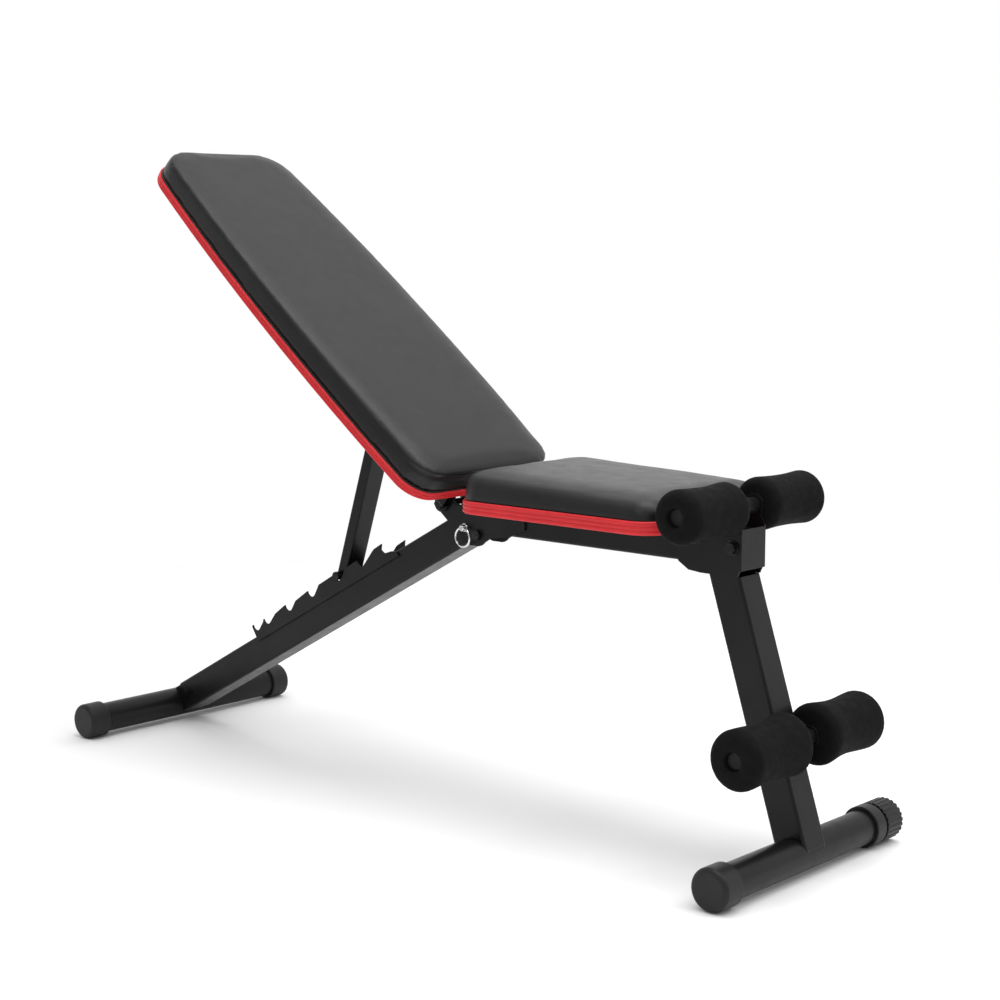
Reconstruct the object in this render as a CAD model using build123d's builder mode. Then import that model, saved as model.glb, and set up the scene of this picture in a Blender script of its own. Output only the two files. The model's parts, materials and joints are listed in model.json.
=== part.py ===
from build123d import *
import os
from math import atan2, cos, degrees, radians, sin

# Folding sit-up bench with an adjustable backrest, a fixed seat and four foam leg rollers.
# Millimetres, +Z up, +X towards the leg rollers, Y across the bench. The origin lies on the
# floor, midway along the length. The sides match, apart from the levelling knob on +Y and the
# lock pin on -Y.

os.makedirs("parts", exist_ok=True)

# ---- main layout: side view positions as (x, z) ---------------------------------
FRONT_BAR = (658.0, 30.0)
REAR_BAR = (-665.5, 30.0)
POST_TILT = 17.8  # from vertical, the top leans to the rear
LEG_SLOPE = 28.5  # from horizontal, rising to the front
BACK_SLOPE = 38.3  # backrest above horizontal
BACK_HINGE = (10.0, 454.0)
STRUT_PIVOT = (-138.0, 600.0)
STRUT_ROD = (-231.0, 312.0)
LEG_PIVOT = (83.0, 412.0)
LOCK_PIN = (58.0, 421.0)
UPPER_ROLLER = (551.0, 496.0)
LOWER_ROLLER = (651.4, 186.6)

# ---- stock ----------------------------------------------------------------------
TUBE = 50.0  # square tube of the beam, post and rear leg
TUBE_WALL = 2.0
TUBE_CORNER = 4.0
PLATE = 3.0
ROUND_R = 25.0  # foot bars
CAP_R = 30.0
GAP = 0.3  # between plates and the parts that turn between them
PIN_PLAY = 0.05  # radial play of a turning part on its bolt
CUT = 400.0  # larger than any piece that is hollowed or trimmed with it

# ---- foot bars --------------------------------------------------------------------
FRONT_BAR_HALF = 217.0
REAR_BAR_HALF = 225.0
CAP_LENGTH = 38.0
CAP_END = 4.0
CAP_ROUND = 7.0
CAP_MOUTH = 1.5  # chamfer at the open end
COLLAR_START = 150.0
COLLAR_END = 173.0
COLLAR_CHAMFER = 1.2
KNOB_START = 178.0
KNOB_FLUTES = 24
KNOB_STEM_R = 8.0
KNOB_LIP_R = 10.0
KNOB_LIP = 5.0
KNOB_STEM_END = 6.0  # past the collar's inner face
KNOB_PLAY = 0.1  # smaller than the collar
KNOB_NECK = 4.0
KNOB_ROUND = 1.5
FLUTE_R = 2.2
FLUTE_OFF = 0.7  # flute centres outside the collar's radius

# ---- beam and front bracket ---------------------------------------------------------
BEAM_BOTTOM = 415.0
BEAM_REAR = 108.0
BEAM_FRONT = 567.0
POST_STOCK = 440.0  # post length before it is cut level under the beam
POST_NOTCH_REAR = 557.0  # the post's front wall stops short of the bracket's web
PLATE_IN = TUBE / 2 + GAP
PLATE_OUT = PLATE_IN + PLATE
BRACKET_BOTTOM = 402.0
WEB_BOTTOM = 411.0
WEB_TOP = 468.0
BRACKET_BOLTS = ((555.0, 442.0), (493.0, 452.0))
BOLT_R = 5.0
BOLT_HEAD_R = 8.5
BOLT_HEAD = 6.0
BOLT_TAIL = 3.0
WASHER_R = 10.5
WASHER = 1.5

HINGE_EAR_R = 14.0
HINGE_LOBE_R = 17.5
HINGE_LOBE_BACK = 15.0  # the second lobe, behind the leg's pivot
HINGE_OUTLINE = ((4.0, 466.5), (66.0, 449.0), (100.0, 449.0), (112.0, 458.0), (168.0, 458.0),
                 (178.0, 448.0), (178.0, 428.0), (150.0, 415.5), (108.0, 408.0), (86.0, 394.7),
                 (67.0, 394.6), (56.0, 399.2), (0.5, 443.6), (-4.0, 454.0))
SADDLE_R = 15.0
SADDLE_HALF = 26.0

# ---- rollers ------------------------------------------------------------------------
ROLLER_TUBE_R = 11.0
ROLLER_TUBE_WALL = 1.8
UPPER_FOAM = dict(start=29.2, end=157.0, ends=37.6, waist=35.4, round_end=12.0)
LOWER_FOAM = dict(start=26.2, end=160.0, ends=41.6, waist=39.2, round_end=15.0)
PLUG_RECESS = 8.0
PLUG_R = 12.1
PLUG_POCKET_R = 12.6
PLUG_HEAD = 3.0
PLUG_STEM = 14.0
PLUG_ROUND = 1.2

# ---- seat -----------------------------------------------------------------------------
SEAT_REAR = 143.0
SEAT_FRONT = 508.0
SEAT_HALF = 150.0
SEAT_CORNER = 40.0
SEAT_BOTTOM = 465.0
BOARD = 15.0
TRIM = 3.0
SEAT_TRIM_H = 19.0
SEAT_TOP_REAR = 524.0
SEAT_TOP_FRONT = 509.0
SEAT_PAD_ROUND = 13.0
PAD_STOCK = 70.0  # foam height before its top is cut
SEAT_BOLT_X = (203.0, 453.0)
SEAT_BOLT_R = 4.0
SEAT_BOLT_GRIP = 12.0  # into the board
SEAT_BOLT_HEAD = 2.5
SEAT_BOLT_HEAD_R = 8.0

# ---- backrest, along the board from its lower end -----------------------------------------
BACK_ORIGIN = (63.3, 470.0)
BACK_LENGTH = 812.0
BACK_HALF_LOW = 150.0
BACK_HALF_MID = 158.0
BACK_HALF_TOP = 131.0
BACK_MID = 450.0
BACK_CORNER_LOW = 48.0
BACK_CORNER_TOP = 62.0
BACK_TRIM_H = 14.0
BACK_PAD_LOW = 55.0
BACK_PAD_TOP = 46.0
BACK_PAD_ROUND = 12.0
RAIL_W = 20.0
RAIL_H = 34.0
RAIL_WALL = 1.5
RAIL_CORNER = 3.0
RAIL_IN = 33.0
RAIL_START = 14.0
RAIL_END = 690.0
RAIL_SCREWS = (110.0, 390.0, 660.0)
SCREW_R = 3.0
SCREW_GRIP = 12.0  # into the board
SCREW_HEAD_R = 5.5
SCREW_HEAD = 3.0
EAR_R = 13.0

# ---- strut and rack -----------------------------------------------------------------------
STRUT_DEPTH = 20.0
STRUT_WIDTH = 38.0
STRUT_WALL = 1.8
STRUT_CORNER = 3.0
SPACER_R = 9.0
STRUT_TAIL = 8.0
ROD_R = 7.0
ROD_HALF = 33.0
ROD_CHAMFER = 1.0
RACK_START = 276.0
RACK_END = 666.0
RACK_LOW = 15.0
RACK_TIP = 45.0
NOTCH_R = 10.0
MOUTH_HEIGHT = 40.0  # the notch mouths are cut past the teeth
MOUTH_TURN = 0.6  # radians round the notch to where its mouth's front edge starts
NOTCH_OFF = (1.5, 2.2)  # notch centre from the resting rod, side view
NOTCHES = (  # along the leg from the rod's notch, mouth run, height of the next tooth's shoulder
    (-232.0, 26.8, 40.0), (-200.5, 31.8, 41.0), (-138.0, 28.0, 41.5), (-73.5, 31.0, 44.0),
    (0.0, 31.0, 44.0), (62.0, 45.0, 46.0))
RACK_NOSE = ((637.5, 47.0), (632.0, 39.0), (636.5, 31.0), (653.0, 28.0), (661.0, 25.0))

# ---- rear leg -------------------------------------------------------------------------------
LEG_START = 31.0
LEG_TOP_END = 858.0
SLEEVE_R = 9.0
STUB = TUBE - 2 * TUBE_WALL
STUB_END = 96.0
FOOT_BOLT = 46.0
PIN_R = 4.5
PIN_TIP = 21.5
PIN_COLLAR_R = 6.5
PIN_COLLAR = 2.5
PIN_HEAD_R = 5.0
PIN_HEAD_END = 39.0
RING_Y = 35.0
RING_R = 14.6
RING_WIRE = 1.6
RING_HOLE_R = 2.9


def save(part, name):
    part.label = name
    export_step(part, f"parts/{name}.step")


def side_plane(point, angle=0.0, y=0.0):
    """Side-view plane at a point: local x rises by angle towards the front, normal is -Y."""
    a = radians(angle)
    return Plane(origin=(point[0], y, point[1]), x_dir=(cos(a), 0, sin(a)), z_dir=(0, -1, 0))


def leg_xy(point):
    """A side-view point in leg coordinates: along the leg from the rear bar, and above it."""
    a = radians(LEG_SLOPE)
    dx = point[0] - REAR_BAR[0]
    dz = point[1] - REAR_BAR[1]
    return (dx * cos(a) + dz * sin(a), -dx * sin(a) + dz * cos(a))


def post_xy(point):
    """A side-view point in post coordinates: forward of the post's axis, and up along it."""
    a = radians(POST_TILT)
    dx = point[0] - FRONT_BAR[0]
    dz = point[1] - FRONT_BAR[1]
    return (dx * cos(a) + dz * sin(a), -dx * sin(a) + dz * cos(a))


def back_xy(point):
    """A side-view point in backrest coordinates: up along the board, and above its underside."""
    a = radians(BACK_SLOPE)
    dx = point[0] - BACK_ORIGIN[0]
    dz = point[1] - BACK_ORIGIN[1]
    return (-dx * cos(a) + dz * sin(a), dx * sin(a) + dz * cos(a))


def make_pivot_bolt(point, head_y, nut_y, radius=BOLT_R, washer=True):
    """A hex bolt across the bench, clamping from -head_y to +nut_y, with washers if asked."""
    under = WASHER if washer else 0
    thread_end = nut_y + under + BOLT_HEAD + BOLT_TAIL
    with BuildPart() as bolt:
        with BuildSketch(side_plane(point, y=thread_end)):
            Circle(radius)
        extrude(amount=thread_end + head_y)
        for start in (-head_y - under, nut_y + under + BOLT_HEAD):
            with BuildSketch(side_plane(point, y=start)):
                RegularPolygon(BOLT_HEAD_R, 6)
            extrude(amount=BOLT_HEAD)
        if washer:
            for start in (-head_y, nut_y + under):
                with BuildSketch(side_plane(point, y=start)):
                    Circle(WASHER_R)
                extrude(amount=WASHER)
    return bolt.part


def make_cap(inner_end, outer_end, axis):
    """A push-on tube cap closed at outer_end, round about an axis along Y."""
    sign = 1 if outer_end > 0 else -1
    mouth, end = abs(inner_end), abs(outer_end)
    with BuildPart() as cap:
        with BuildSketch(Plane(origin=(axis[0], 0, axis[1]), x_dir=(0, sign, 0), z_dir=(1, 0, 0))):
            with BuildLine():
                Polyline((mouth, ROUND_R), (mouth, CAP_R - CAP_MOUTH), (mouth + CAP_MOUTH, CAP_R),
                         (end - CAP_ROUND, CAP_R))
                CenterArc((end - CAP_ROUND, CAP_R - CAP_ROUND), CAP_ROUND, 0, 90)
                Polyline((end, CAP_R - CAP_ROUND), (end, 0), (end - CAP_END, 0), (end - CAP_END, ROUND_R),
                         (mouth, ROUND_R))
            make_face()
        revolve(axis=Axis((axis[0], 0, axis[1]), (0, 1, 0)))
    return cap.part


def make_foam(foam, axis, sign):
    """A soft waisted roller with rounded ends, bored for its tube and pocketed for the end plug."""
    start, end = foam["start"], foam["end"]
    r_end, r_waist, round_end = foam["ends"], foam["waist"], foam["round_end"]
    middle = (start + end) / 2
    bore = ROLLER_TUBE_R + PIN_PLAY
    pocket = end - PLUG_RECESS - PLUG_HEAD - GAP
    with BuildPart() as roller:
        with BuildSketch(Plane(origin=(axis[0], 0, axis[1]), x_dir=(0, sign, 0), z_dir=(1, 0, 0))):
            with BuildLine():
                Polyline((start, bore), (start, r_end - round_end))
                CenterArc((start + round_end, r_end - round_end), round_end, 90, 90)
                ThreePointArc((start + round_end, r_end), (middle, r_waist), (end - round_end, r_end))
                CenterArc((end - round_end, r_end - round_end), round_end, 0, 90)
                Polyline((end, r_end - round_end), (end, PLUG_POCKET_R), (pocket, PLUG_POCKET_R),
                         (pocket, bore), (start, bore))
            make_face()
        revolve(axis=Axis((axis[0], 0, axis[1]), (0, 1, 0)))
    return roller.part


def make_roller_tube(foam, axis):
    half = foam["end"] - PLUG_RECESS - PLUG_HEAD
    with BuildPart() as tube:
        with BuildSketch(side_plane(axis)):
            Circle(ROLLER_TUBE_R)
            Circle(ROLLER_TUBE_R - ROLLER_TUBE_WALL, mode=Mode.SUBTRACT)
        extrude(amount=half, both=True)
    return tube.part


# ==== front foot bar ==========================================================================
bar_far_end = COLLAR_END - CAP_END
with BuildPart() as front_foot_bar:
    with BuildSketch(side_plane(FRONT_BAR, y=bar_far_end)):
        Circle(ROUND_R)
        Circle(ROUND_R - TUBE_WALL, mode=Mode.SUBTRACT)
    extrude(amount=bar_far_end + FRONT_BAR_HALF - CAP_END)
save(front_foot_bar.part, "front_foot_bar")

save(make_cap(-(FRONT_BAR_HALF - CAP_LENGTH), -FRONT_BAR_HALF, FRONT_BAR), "front_foot_cap")

with BuildPart() as leveler_collar:
    with BuildSketch(side_plane(FRONT_BAR, y=COLLAR_END)):
        Circle(CAP_R)
    extrude(amount=COLLAR_END - COLLAR_START)
    with BuildSketch(side_plane(FRONT_BAR, y=bar_far_end)):
        Circle(ROUND_R)
    extrude(amount=bar_far_end - COLLAR_START, mode=Mode.SUBTRACT)
    with BuildSketch(side_plane(FRONT_BAR, y=COLLAR_END)):
        Circle(KNOB_STEM_R + PIN_PLAY)
    extrude(amount=CAP_END, mode=Mode.SUBTRACT)
    rims = leveler_collar.edges().filter_by(GeomType.CIRCLE)
    chamfer(rims.filter_by(lambda e: abs(e.radius - CAP_R) < 0.01), length=COLLAR_CHAMFER)
save(leveler_collar.part, "leveler_collar")

with BuildPart() as leveler_knob:
    with BuildSketch(side_plane(FRONT_BAR, y=FRONT_BAR_HALF)):
        Circle(CAP_R - KNOB_PLAY)
        with PolarLocations(CAP_R + FLUTE_OFF, KNOB_FLUTES):
            Circle(FLUTE_R, mode=Mode.SUBTRACT)
    extrude(amount=FRONT_BAR_HALF - KNOB_START)
    fillet(leveler_knob.faces().sort_by(Axis.Y)[-1].edges(), radius=KNOB_ROUND)
    with BuildSketch(side_plane(FRONT_BAR, y=KNOB_START)):
        Circle(CAP_R - KNOB_NECK)
    extrude(amount=KNOB_START - COLLAR_END - GAP)
    with BuildSketch(side_plane(FRONT_BAR, y=KNOB_START)):
        Circle(KNOB_STEM_R)
    extrude(amount=KNOB_START - bar_far_end + KNOB_STEM_END)
    with BuildSketch(side_plane(FRONT_BAR, y=bar_far_end - GAP)):
        Circle(KNOB_LIP_R)
    extrude(amount=KNOB_LIP)
save(leveler_knob.part, "leveler_knob")

# ==== front post ==============================================================================
post_plane = Plane(origin=(FRONT_BAR[0], 0, FRONT_BAR[1]), x_dir=(0, 1, 0),
                   z_dir=(-sin(radians(POST_TILT)), 0, cos(radians(POST_TILT))))
with BuildPart() as front_post:
    with BuildSketch(post_plane):
        RectangleRounded(TUBE, TUBE, TUBE_CORNER)
        RectangleRounded(TUBE - 2 * TUBE_WALL, TUBE - 2 * TUBE_WALL, TUBE_CORNER - TUBE_WALL,
                         mode=Mode.SUBTRACT)
    extrude(amount=POST_STOCK)
    with BuildSketch(side_plane(FRONT_BAR)):
        Circle(ROUND_R)
    extrude(amount=TUBE, both=True, mode=Mode.SUBTRACT)
    split(bisect_by=Plane.XY.offset(BEAM_BOTTOM), keep=Keep.BOTTOM)
    with BuildSketch(side_plane((POST_NOTCH_REAR, BRACKET_BOTTOM))):
        Rectangle(TUBE, TUBE, align=(Align.MIN, Align.MIN))
    extrude(amount=TUBE, both=True, mode=Mode.SUBTRACT)
save(front_post.part, "front_post")

# ==== seat beam ===============================================================================
beam_z = BEAM_BOTTOM + TUBE / 2
with BuildPart() as seat_beam:
    with BuildSketch(Plane.YZ.offset(BEAM_REAR)):
        with Locations((0, beam_z)):
            RectangleRounded(TUBE, TUBE, TUBE_CORNER)
            RectangleRounded(TUBE - 2 * TUBE_WALL, TUBE - 2 * TUBE_WALL, TUBE_CORNER - TUBE_WALL,
                             mode=Mode.SUBTRACT)
    extrude(amount=BEAM_FRONT - BEAM_REAR)
    for bolt_x, bolt_z in BRACKET_BOLTS:
        with BuildSketch(side_plane((bolt_x, bolt_z))):
            Circle(BOLT_R)
        extrude(amount=TUBE, both=True, mode=Mode.SUBTRACT)
    with BuildSketch(Plane.XY.offset(BEAM_BOTTOM)):
        with Locations(*[(x, 0) for x in SEAT_BOLT_X]):
            Circle(SEAT_BOLT_R)
    extrude(amount=TUBE, mode=Mode.SUBTRACT)
save(seat_beam.part, "seat_beam")

# ==== front bracket ===========================================================================
web_rear, web_front = BEAM_FRONT, BEAM_FRONT + PLATE
with BuildPart() as front_bracket:
    with BuildSketch(side_plane((0, 0))):
        with BuildLine():
            Polyline((web_front, WEB_BOTTOM), (web_front, 470), (web_front - 6, 482), (567, 503),
                     (556, 512), (546, 512), (535, 503), (530, 484), (516, 462), (476, 462),
                     (463, 452), (463, BEAM_BOTTOM), (481, 404), (502, BRACKET_BOTTOM),
                     (563, BRACKET_BOTTOM), (web_rear, WEB_BOTTOM), (web_front, WEB_BOTTOM),
                     close=False)
        make_face()
    extrude(amount=PLATE_OUT, both=True)
    with BuildSketch(side_plane((web_rear, BRACKET_BOTTOM))):
        Rectangle(CUT, CUT, align=(Align.MAX, Align.MIN))
    extrude(amount=PLATE_IN, both=True, mode=Mode.SUBTRACT)
    with BuildSketch(Plane.XY.offset(WEB_TOP)):
        with Locations((web_front, 0)):
            Rectangle(TUBE, 2 * PLATE_IN)
    extrude(amount=TUBE, mode=Mode.SUBTRACT)
    for bolt in BRACKET_BOLTS:
        with BuildSketch(side_plane(bolt)):
            Circle(BOLT_R)
        extrude(amount=TUBE, both=True, mode=Mode.SUBTRACT)
    with BuildSketch(side_plane(UPPER_ROLLER)):
        Circle(ROLLER_TUBE_R)
    extrude(amount=TUBE, both=True, mode=Mode.SUBTRACT)
save(front_bracket.part, "front_bracket")

for index, bolt in enumerate(BRACKET_BOLTS):
    save(make_pivot_bolt(bolt, PLATE_OUT, PLATE_OUT), f"bracket_bolt_{index + 1}")

# ==== lower roller saddle =====================================================================
roller_out, roller_up = post_xy(LOWER_ROLLER)
post_side = side_plane(FRONT_BAR, POST_TILT)
with BuildPart() as roller_saddle:
    with BuildSketch(post_side):
        with BuildLine():
            Polyline((TUBE / 2, roller_up - SADDLE_HALF), (TUBE / 2 + PLATE, roller_up - SADDLE_HALF),
                     (roller_out, roller_up - SADDLE_R))
            CenterArc((roller_out, roller_up), SADDLE_R, -90, 180)
            Polyline((roller_out, roller_up + SADDLE_R), (TUBE / 2 + PLATE, roller_up + SADDLE_HALF),
                     (TUBE / 2, roller_up + SADDLE_HALF), (TUBE / 2, roller_up - SADDLE_HALF))
        make_face()
    extrude(amount=TUBE / 2, both=True)
    with BuildSketch(post_side):
        with Locations((TUBE / 2 + PLATE, roller_up)):
            Rectangle(TUBE, 2 * TUBE, align=(Align.MIN, Align.CENTER))
    extrude(amount=TUBE / 2 - PLATE, both=True, mode=Mode.SUBTRACT)
    with BuildSketch(post_side):
        with Locations((roller_out, roller_up)):
            Circle(ROLLER_TUBE_R)
    extrude(amount=TUBE, both=True, mode=Mode.SUBTRACT)
save(roller_saddle.part, "roller_saddle")

# ==== rollers =================================================================================
for level, foam, axis in (("upper", UPPER_FOAM, UPPER_ROLLER), ("lower", LOWER_FOAM, LOWER_ROLLER)):
    save(make_roller_tube(foam, axis), f"{level}_roller_tube")
    for side, sign in (("near", -1), ("far", 1)):
        save(make_foam(foam, axis, sign), f"{level}_roller_{side}")
    plug_y = foam["end"] - PLUG_RECESS - PLUG_HEAD
    with BuildPart() as roller_plugs:
        for sign in (-1, 1):
            plug_plane = Plane(origin=(axis[0], sign * plug_y, axis[1]), x_dir=(1, 0, 0),
                               z_dir=(0, sign, 0))
            with BuildSketch(plug_plane):
                Circle(PLUG_R)
            extrude(amount=PLUG_HEAD)
            with BuildSketch(plug_plane):
                Circle(ROLLER_TUBE_R - ROLLER_TUBE_WALL)
            extrude(amount=-PLUG_STEM)
        fillet(roller_plugs.faces().sort_by(Axis.Y)[0].edges(), radius=PLUG_ROUND)
        fillet(roller_plugs.faces().sort_by(Axis.Y)[-1].edges(), radius=PLUG_ROUND)
    save(roller_plugs.part, f"{level}_roller_plugs")

# ==== hinge plates ============================================================================
with BuildPart() as hinge_plates:
    with BuildSketch(side_plane((0, 0))):
        with BuildLine():
            Polyline(*HINGE_OUTLINE, close=True)
        make_face()
        with Locations(BACK_HINGE):
            Circle(HINGE_EAR_R)
        with Locations((LEG_PIVOT[0] - HINGE_LOBE_BACK, LEG_PIVOT[1]), LEG_PIVOT):
            Circle(HINGE_LOBE_R)
    extrude(amount=PLATE_OUT, both=True)
    with BuildSketch(side_plane(LEG_PIVOT)):
        Rectangle(CUT, CUT)
    extrude(amount=PLATE_IN, both=True, mode=Mode.SUBTRACT)
    for pivot in (BACK_HINGE, LEG_PIVOT):
        with BuildSketch(side_plane(pivot)):
            Circle(BOLT_R)
        extrude(amount=TUBE, both=True, mode=Mode.SUBTRACT)
    with BuildSketch(side_plane(LOCK_PIN)):
        Circle(PIN_R + PIN_PLAY)
    extrude(amount=TUBE, mode=Mode.SUBTRACT)
save(hinge_plates.part, "hinge_plates")
save(make_pivot_bolt(BACK_HINGE, RAIL_IN + GAP, RAIL_IN + GAP, washer=False), "back_hinge_bolt")
save(make_pivot_bolt(LEG_PIVOT, PLATE_OUT, PLATE_OUT, washer=False), "leg_pivot_bolt")

# ==== seat ====================================================================================
seat_centre = ((SEAT_REAR + SEAT_FRONT) / 2, 0)
seat_length = SEAT_FRONT - SEAT_REAR


def seat_outline(inset):
    """The seat's plan outline as a sketch, drawn in by inset, at height 0."""
    with BuildSketch() as outline:
        with Locations(seat_centre):
            RectangleRounded(seat_length - 2 * inset, 2 * (SEAT_HALF - inset), SEAT_CORNER - inset)
    return outline.sketch


def make_trim(outline, plane, height):
    """A ribbed edge strip: a thin band with three rounded ribs, standing on plane."""
    with BuildPart() as trim:
        with BuildSketch(plane):
            add(outline(0.9))
            add(outline(TRIM), mode=Mode.SUBTRACT)
        extrude(amount=height)
        for rib in range(3):
            with BuildSketch(plane.offset(height * (0.08 + 0.31 * rib))):
                add(outline(0.0))
                add(outline(TRIM), mode=Mode.SUBTRACT)
            extrude(amount=height * 0.22)
    return trim.part


with BuildPart() as seat_board:
    with BuildSketch(Plane.XY.offset(SEAT_BOTTOM)):
        add(seat_outline(TRIM))
    extrude(amount=BOARD)
    with BuildSketch(Plane.XY.offset(SEAT_BOTTOM)):
        with Locations(*[(x, 0) for x in SEAT_BOLT_X]):
            Circle(SEAT_BOLT_R)
    extrude(amount=SEAT_BOLT_GRIP, mode=Mode.SUBTRACT)
save(seat_board.part, "seat_board")

seat_fall = degrees(atan2(SEAT_TOP_REAR - SEAT_TOP_FRONT, seat_length))
with BuildPart() as seat_cushion:
    with BuildSketch(Plane.XY.offset(SEAT_BOTTOM + BOARD)):
        add(seat_outline(TRIM))
    extrude(amount=PAD_STOCK)
    top = Plane(origin=(SEAT_REAR, 0, SEAT_TOP_REAR), x_dir=(1, 0, -sin(radians(seat_fall))),
                z_dir=(sin(radians(seat_fall)), 0, cos(radians(seat_fall))))
    split(bisect_by=top, keep=Keep.BOTTOM)
    fillet(seat_cushion.faces().sort_by(Axis.Z)[-1].edges(), radius=SEAT_PAD_ROUND)
save(seat_cushion.part, "seat_cushion")
save(make_trim(seat_outline, Plane.XY.offset(SEAT_BOTTOM), SEAT_TRIM_H), "seat_trim")

with BuildPart() as seat_bolts:
    with BuildSketch(Plane.XY.offset(BEAM_BOTTOM - SEAT_BOLT_HEAD)):
        with Locations(*[(x, 0) for x in SEAT_BOLT_X]):
            Circle(SEAT_BOLT_HEAD_R)
    extrude(amount=SEAT_BOLT_HEAD)
    with BuildSketch(Plane.XY.offset(BEAM_BOTTOM)):
        with Locations(*[(x, 0) for x in SEAT_BOLT_X]):
            Circle(SEAT_BOLT_R)
    extrude(amount=TUBE + SEAT_BOLT_GRIP - 1)
save(seat_bolts.part, "seat_bolts")

# ==== backrest ================================================================================
back_a = radians(BACK_SLOPE)
back_plane = Plane(origin=(BACK_ORIGIN[0], 0, BACK_ORIGIN[1]), x_dir=(-cos(back_a), 0, sin(back_a)),
                   z_dir=(sin(back_a), 0, cos(back_a)))
back_side = Plane(origin=(BACK_ORIGIN[0], 0, BACK_ORIGIN[1]), x_dir=(-cos(back_a), 0, sin(back_a)),
                  z_dir=(0, 1, 0))


def back_outline(inset):
    """The backrest's outline as a sketch, drawn in by inset, from its lower end at the origin."""
    low, mid, top = (half - inset for half in (BACK_HALF_LOW, BACK_HALF_MID, BACK_HALF_TOP))
    start, end = inset, BACK_LENGTH - inset
    with BuildSketch() as outline:
        with BuildLine():
            ThreePointArc((start, low), (BACK_MID, mid), (end, top))
            Line((end, top), (end, -top))
            ThreePointArc((end, -top), (BACK_MID, -mid), (start, -low))
            Line((start, -low), (start, low))
        make_face()
        corners = outline.vertices().sort_by(Axis.X)
        fillet(corners[:2], radius=BACK_CORNER_LOW - inset)
        fillet(outline.vertices().sort_by(Axis.X)[-2:], radius=BACK_CORNER_TOP - inset)
    return outline.sketch


rail_centres = [(x, side * (RAIL_IN + RAIL_W / 2)) for x in RAIL_SCREWS for side in (-1, 1)]
with BuildPart() as back_board:
    with BuildSketch(back_plane):
        add(back_outline(TRIM))
    extrude(amount=BOARD)
    with BuildSketch(back_plane):
        with Locations(*rail_centres):
            Circle(SCREW_R)
    extrude(amount=SCREW_GRIP, mode=Mode.SUBTRACT)
save(back_board.part, "back_board")

pad_fall = atan2(BACK_PAD_LOW - BACK_PAD_TOP, BACK_LENGTH)
with BuildPart() as back_cushion:
    with BuildSketch(back_plane.offset(BOARD)):
        add(back_outline(TRIM))
    extrude(amount=PAD_STOCK)
    fall_a = back_a - pad_fall
    crown = back_plane.offset(BACK_PAD_LOW).origin
    split(bisect_by=Plane(origin=crown, x_dir=(-cos(fall_a), 0, sin(fall_a)),
                          z_dir=(sin(fall_a), 0, cos(fall_a))), keep=Keep.BOTTOM)
    lid = back_cushion.faces().sort_by(Axis(origin=crown, direction=(sin(fall_a), 0, cos(fall_a))))[-1]
    fillet(lid.edges(), radius=BACK_PAD_ROUND)
save(back_cushion.part, "back_cushion")
save(make_trim(back_outline, back_plane, BACK_TRIM_H), "back_trim")

hinge_along, hinge_low = back_xy(BACK_HINGE)
pivot_along, pivot_low = back_xy(STRUT_PIVOT)
for name, side in (("back_rail_near", -1), ("back_rail_far", 1)):
    with BuildPart() as rail:
        with BuildSketch(Plane(origin=back_plane.from_local_coords((RAIL_START, 0, -RAIL_H / 2)),
                               x_dir=(0, 1, 0), z_dir=back_plane.x_dir)):
            with Locations((side * (RAIL_IN + RAIL_W / 2), 0)):
                RectangleRounded(RAIL_W, RAIL_H, RAIL_CORNER)
                RectangleRounded(RAIL_W - 2 * RAIL_WALL, RAIL_H - 2 * RAIL_WALL,
                                 RAIL_CORNER - RAIL_WALL, mode=Mode.SUBTRACT)
        extrude(amount=RAIL_END - RAIL_START)
        with BuildSketch(side_plane(STRUT_PIVOT)):
            Circle(BOLT_R)
        extrude(amount=2 * TUBE, both=True, mode=Mode.SUBTRACT)
        with BuildSketch(back_plane):
            with Locations(*rail_centres):
                Circle(SCREW_R)
        extrude(amount=-RAIL_H, mode=Mode.SUBTRACT)
    save(rail.part, name)

with BuildPart() as hinge_ears:
    with BuildSketch(back_side):
        with BuildLine():
            Polyline((hinge_along - EAR_R, hinge_low), (hinge_along - EAR_R, -RAIL_H / 2),
                     (hinge_along - EAR_R + 6, -3), (hinge_along + 42, -3),
                     (hinge_along + 42, -RAIL_H + 6), (hinge_along + EAR_R, hinge_low), close=True)
        make_face()
        with Locations((hinge_along, hinge_low)):
            Circle(EAR_R)
            Circle(BOLT_R + PIN_PLAY, mode=Mode.SUBTRACT)
    extrude(amount=RAIL_IN, both=True)
    with BuildSketch(back_side):
        with Locations((hinge_along, hinge_low)):
            Rectangle(CUT, CUT)
    extrude(amount=RAIL_IN - PLATE, both=True, mode=Mode.SUBTRACT)
save(hinge_ears.part, "hinge_ears")

with BuildPart() as back_screws:
    with BuildSketch(back_plane.offset(-RAIL_H)):
        with Locations(*rail_centres):
            Circle(SCREW_HEAD_R)
    extrude(amount=-SCREW_HEAD)
    with BuildSketch(back_plane.offset(-RAIL_H)):
        with Locations(*rail_centres):
            Circle(SCREW_R)
    extrude(amount=RAIL_H + SCREW_GRIP)
save(back_screws.part, "back_screws")

# ==== strut ===================================================================================
save(make_pivot_bolt(STRUT_PIVOT, RAIL_IN + RAIL_W, RAIL_IN + RAIL_W, washer=False),
     "strut_pivot_bolt")
with BuildPart() as strut_spacers:
    for side in (-1, 1):
        with BuildSketch(side_plane(STRUT_PIVOT, y=side * (STRUT_WIDTH / 2 + GAP))):
            Circle(SPACER_R)
            Circle(BOLT_R, mode=Mode.SUBTRACT)
        extrude(amount=-side * (RAIL_IN - STRUT_WIDTH / 2 - GAP))
save(strut_spacers.part, "strut_spacers")

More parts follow.
